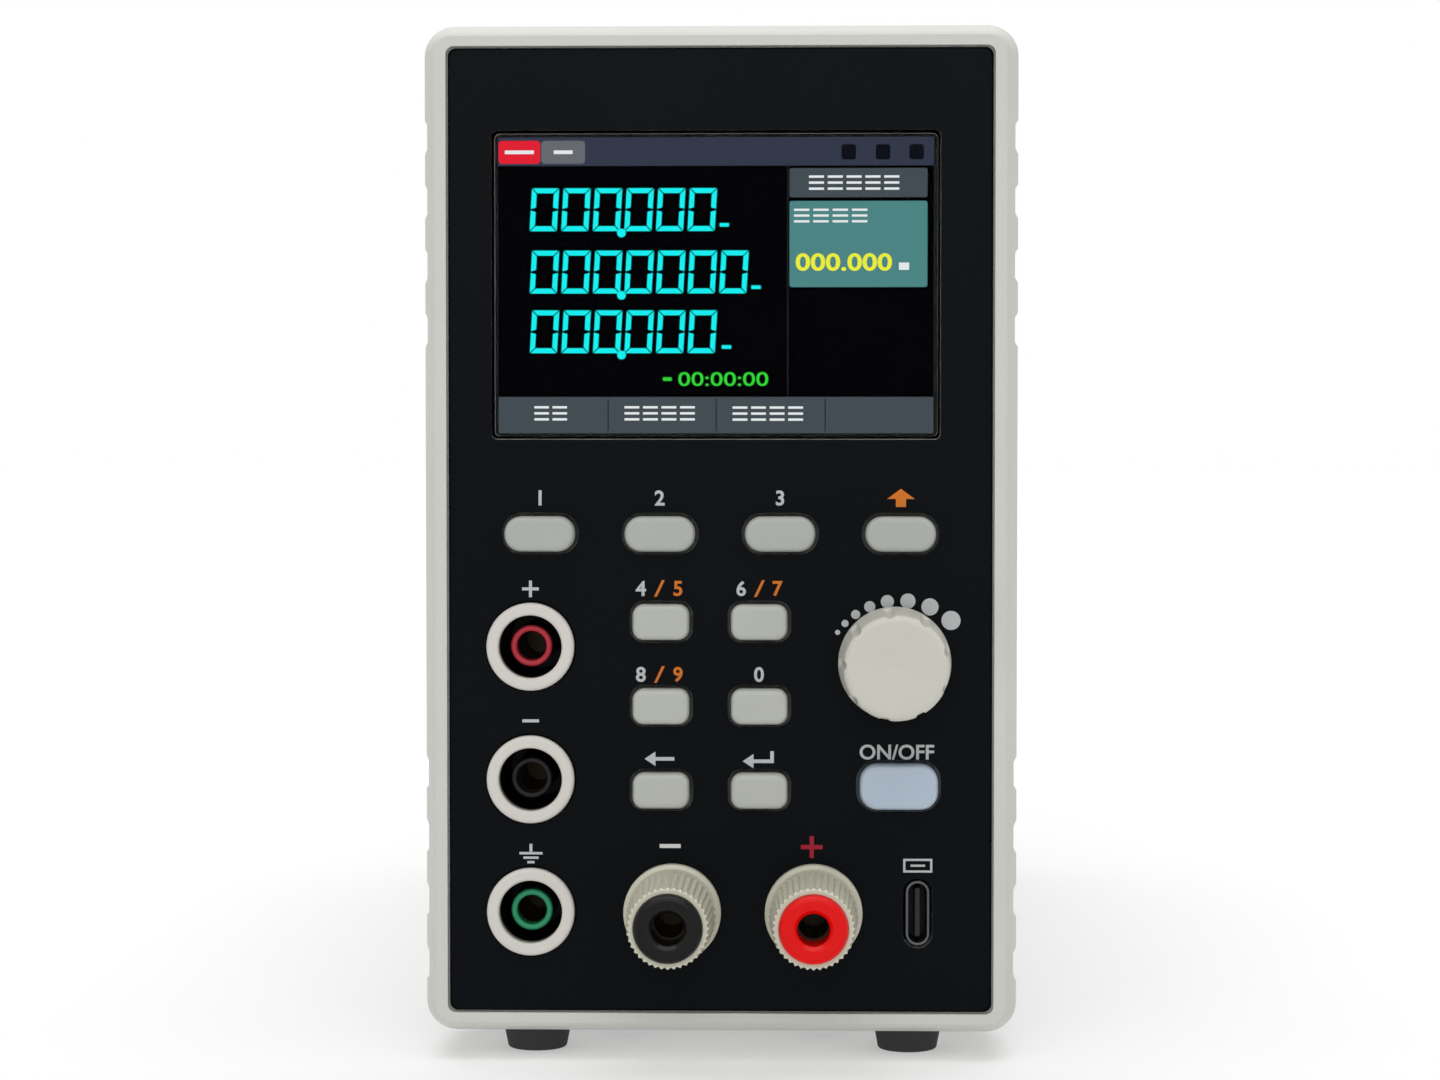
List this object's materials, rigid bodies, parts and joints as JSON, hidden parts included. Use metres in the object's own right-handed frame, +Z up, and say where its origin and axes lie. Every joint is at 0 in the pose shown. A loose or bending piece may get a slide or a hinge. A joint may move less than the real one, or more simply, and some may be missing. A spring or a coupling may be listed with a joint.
{
  "type": "dc electronic load",
  "caption": "Upright bench DC electronic load with a display, keys, a knob, sense jacks and screw-down binding posts on a black front panel, and a fan and mains inlet at the rear.",
  "frame": {"origin": "on the bench, under the middle of the outer box", "axes": "+Z up, front panel towards -Y, +X to the right of someone facing the panel"},
  "size_m": [0.082, 0.2258, 0.1428],
  "materials": {
    "frame_plastic": "satin moulded",
    "panel_sheet": "gloss",
    "window": "clear gloss",
    "display": "lit display",
    "circuit_board": "solder mask",
    "screw_steel": "zinc plated",
    "key_plastic": "satin moulded",
    "key_blue": "translucent satin",
    "black_plastic": "satin moulded",
    "encoder_metal": "satin",
    "nickel": "nickel plated",
    "white_plastic": "moulded",
    "cream_plastic": "satin moulded",
    "red_plastic": "moulded",
    "dark_plastic": "moulded",
    "green_plastic": "moulded",
    "bright_red_plastic": "gloss moulded",
    "contact_brass": "machined",
    "black_lead": "insulated",
    "red_lead": "insulated",
    "tray_steel": "zinc plated sheet",
    "case_paint": "fine texture powder coat",
    "foot_rubber": "matt",
    "sink_aluminium": "extruded",
    "core_iron": "laminated"
  },
  "bodies": {
    "case": {"front_bezel": "frame_plastic", "front_sheet": "panel_sheet", "display_window": "window", "lcd_module": "display", "front_board": "circuit_board", "board_screws": "screw_steel", "key_switches": "black_plastic", "encoder_body": "encoder_metal", "encoder_nut": "nickel", "jack_shrouds": "white_plastic", "jack_sleeve_red": "red_plastic", "jack_sleeve_black": "dark_plastic", "jack_sleeve_green": "green_plastic", "jack_contacts": "contact_brass", "post_bases": "cream_plastic", "post_studs": "contact_brass", "post_nuts": "screw_steel", "minus_lead": "black_lead", "plus_lead": "red_lead", "usb_shell": "nickel", "usb_tongue": "black_plastic", "rear_bezel": "frame_plastic", "chassis_tray": "tray_steel", "top_cover": "case_paint", "rear_panel": "case_paint", "feet": "foot_rubber", "case_screws": "screw_steel", "fan_frame": "black_plastic", "fan_guard": "tray_steel", "fan_screws": "screw_steel", "inlet_block": "black_plastic", "inlet_pins": "nickel", "heatsink": "sink_aluminium", "heatsink_brackets": "tray_steel", "power_transistors": "black_plastic", "power_board": "circuit_board", "transformer": "core_iron"},
    "key_f1": {"key_f1": "key_plastic"},
    "key_f2": {"key_f2": "key_plastic"},
    "key_f3": {"key_f3": "key_plastic"},
    "key_shift": {"key_shift": "key_plastic"},
    "key_upper_left": {"key_upper_left": "key_plastic"},
    "key_upper_right": {"key_upper_right": "key_plastic"},
    "key_middle_left": {"key_middle_left": "key_plastic"},
    "key_middle_right": {"key_middle_right": "key_plastic"},
    "key_escape": {"key_escape": "key_plastic"},
    "key_enter": {"key_enter": "key_plastic"},
    "key_on_off": {"key_on_off": "key_blue"},
    "knob_push": {"encoder_plunger": "white_plastic"},
    "knob_turn": {"encoder_shaft": "encoder_metal", "knob": "cream_plastic"},
    "minus_collar": {"minus_collar": "nickel"},
    "minus_cap": {"minus_cap": "cream_plastic", "minus_core": "dark_plastic"},
    "plus_collar": {"plus_collar": "nickel"},
    "plus_cap": {"plus_cap": "cream_plastic", "plus_core": "bright_red_plastic"},
    "fan_rotor": {"fan_rotor": "black_plastic"},
    "power_rocker": {"power_rocker": "black_plastic"},
    "fuse_drawer": {"fuse_drawer": "black_plastic"}
  },
  "joints": [
    {"name": "key_f1_press", "type": "slide", "parent": "case", "child": "key_f1", "axis": [0, 1, 0], "range_m": [0, 0.001], "stiffness_N_per_m": 1500},
    {"name": "key_f2_press", "type": "slide", "parent": "case", "child": "key_f2", "axis": [0, 1, 0], "range_m": [0, 0.001], "stiffness_N_per_m": 1500},
    {"name": "key_f3_press", "type": "slide", "parent": "case", "child": "key_f3", "axis": [0, 1, 0], "range_m": [0, 0.001], "stiffness_N_per_m": 1500},
    {"name": "key_shift_press", "type": "slide", "parent": "case", "child": "key_shift", "axis": [0, 1, 0], "range_m": [0, 0.001], "stiffness_N_per_m": 1500},
    {"name": "key_upper_left_press", "type": "slide", "parent": "case", "child": "key_upper_left", "axis": [0, 1, 0], "range_m": [0, 0.001], "stiffness_N_per_m": 1500},
    {"name": "key_upper_right_press", "type": "slide", "parent": "case", "child": "key_upper_right", "axis": [0, 1, 0], "range_m": [0, 0.001], "stiffness_N_per_m": 1500},
    {"name": "key_middle_left_press", "type": "slide", "parent": "case", "child": "key_middle_left", "axis": [0, 1, 0], "range_m": [0, 0.001], "stiffness_N_per_m": 1500},
    {"name": "key_middle_right_press", "type": "slide", "parent": "case", "child": "key_middle_right", "axis": [0, 1, 0], "range_m": [0, 0.001], "stiffness_N_per_m": 1500},
    {"name": "key_escape_press", "type": "slide", "parent": "case", "child": "key_escape", "axis": [0, 1, 0], "range_m": [0, 0.001], "stiffness_N_per_m": 1500},
    {"name": "key_enter_press", "type": "slide", "parent": "case", "child": "key_enter", "axis": [0, 1, 0], "range_m": [0, 0.001], "stiffness_N_per_m": 1500},
    {"name": "key_on_off_press", "type": "slide", "parent": "case", "child": "key_on_off", "axis": [0, 1, 0], "range_m": [0, 0.001], "stiffness_N_per_m": 1500},
    {"name": "knob_press", "type": "slide", "parent": "case", "child": "knob_push", "axis": [0, 1, 0], "range_m": [0, 0.0005], "stiffness_N_per_m": 6000},
    {"name": "knob_spin", "type": "hinge", "parent": "knob_push", "child": "knob_turn", "pos_m": [0.02395, -0.09615, 0.0552], "axis": [0, -1, 0], "continuous": true},
    {"name": "minus_cap_travel", "type": "slide", "parent": "case", "child": "minus_collar", "axis": [0, -1, 0], "range_m": [0, 0.005]},
    {"name": "minus_cap_turn", "type": "hinge", "parent": "minus_collar", "child": "minus_cap", "pos_m": [-0.00658, -0.09615, 0.0207], "axis": [0, -1, 0], "range_deg": [0, 1800]},
    {"name": "plus_cap_travel", "type": "slide", "parent": "case", "child": "plus_collar", "axis": [0, -1, 0], "range_m": [0, 0.005]},
    {"name": "plus_cap_turn", "type": "hinge", "parent": "plus_collar", "child": "plus_cap", "pos_m": [0.01287, -0.09615, 0.0207], "axis": [0, -1, 0], "range_deg": [0, 1800]},
    {"name": "fan_spin", "type": "hinge", "parent": "case", "child": "fan_rotor", "pos_m": [0, 0.09785, 0.10115], "axis": [0, 1, 0], "continuous": true},
    {"name": "power_rocker_tilt", "type": "hinge", "parent": "case", "child": "power_rocker", "pos_m": [0, 0.10625, 0.05115], "axis": [0, 0, 1], "range_deg": [0, 18]},
    {"name": "fuse_drawer_slide", "type": "slide", "parent": "case", "child": "fuse_drawer", "axis": [0, 1, 0], "range_m": [0, 0.02]}
  ],
  "couplings": [
    {"joint": "minus_cap_turn", "follows": "minus_cap_travel", "rad_per_m": 6283.2},
    {"joint": "plus_cap_turn", "follows": "plus_cap_travel", "rad_per_m": 6283.2}
  ]
}
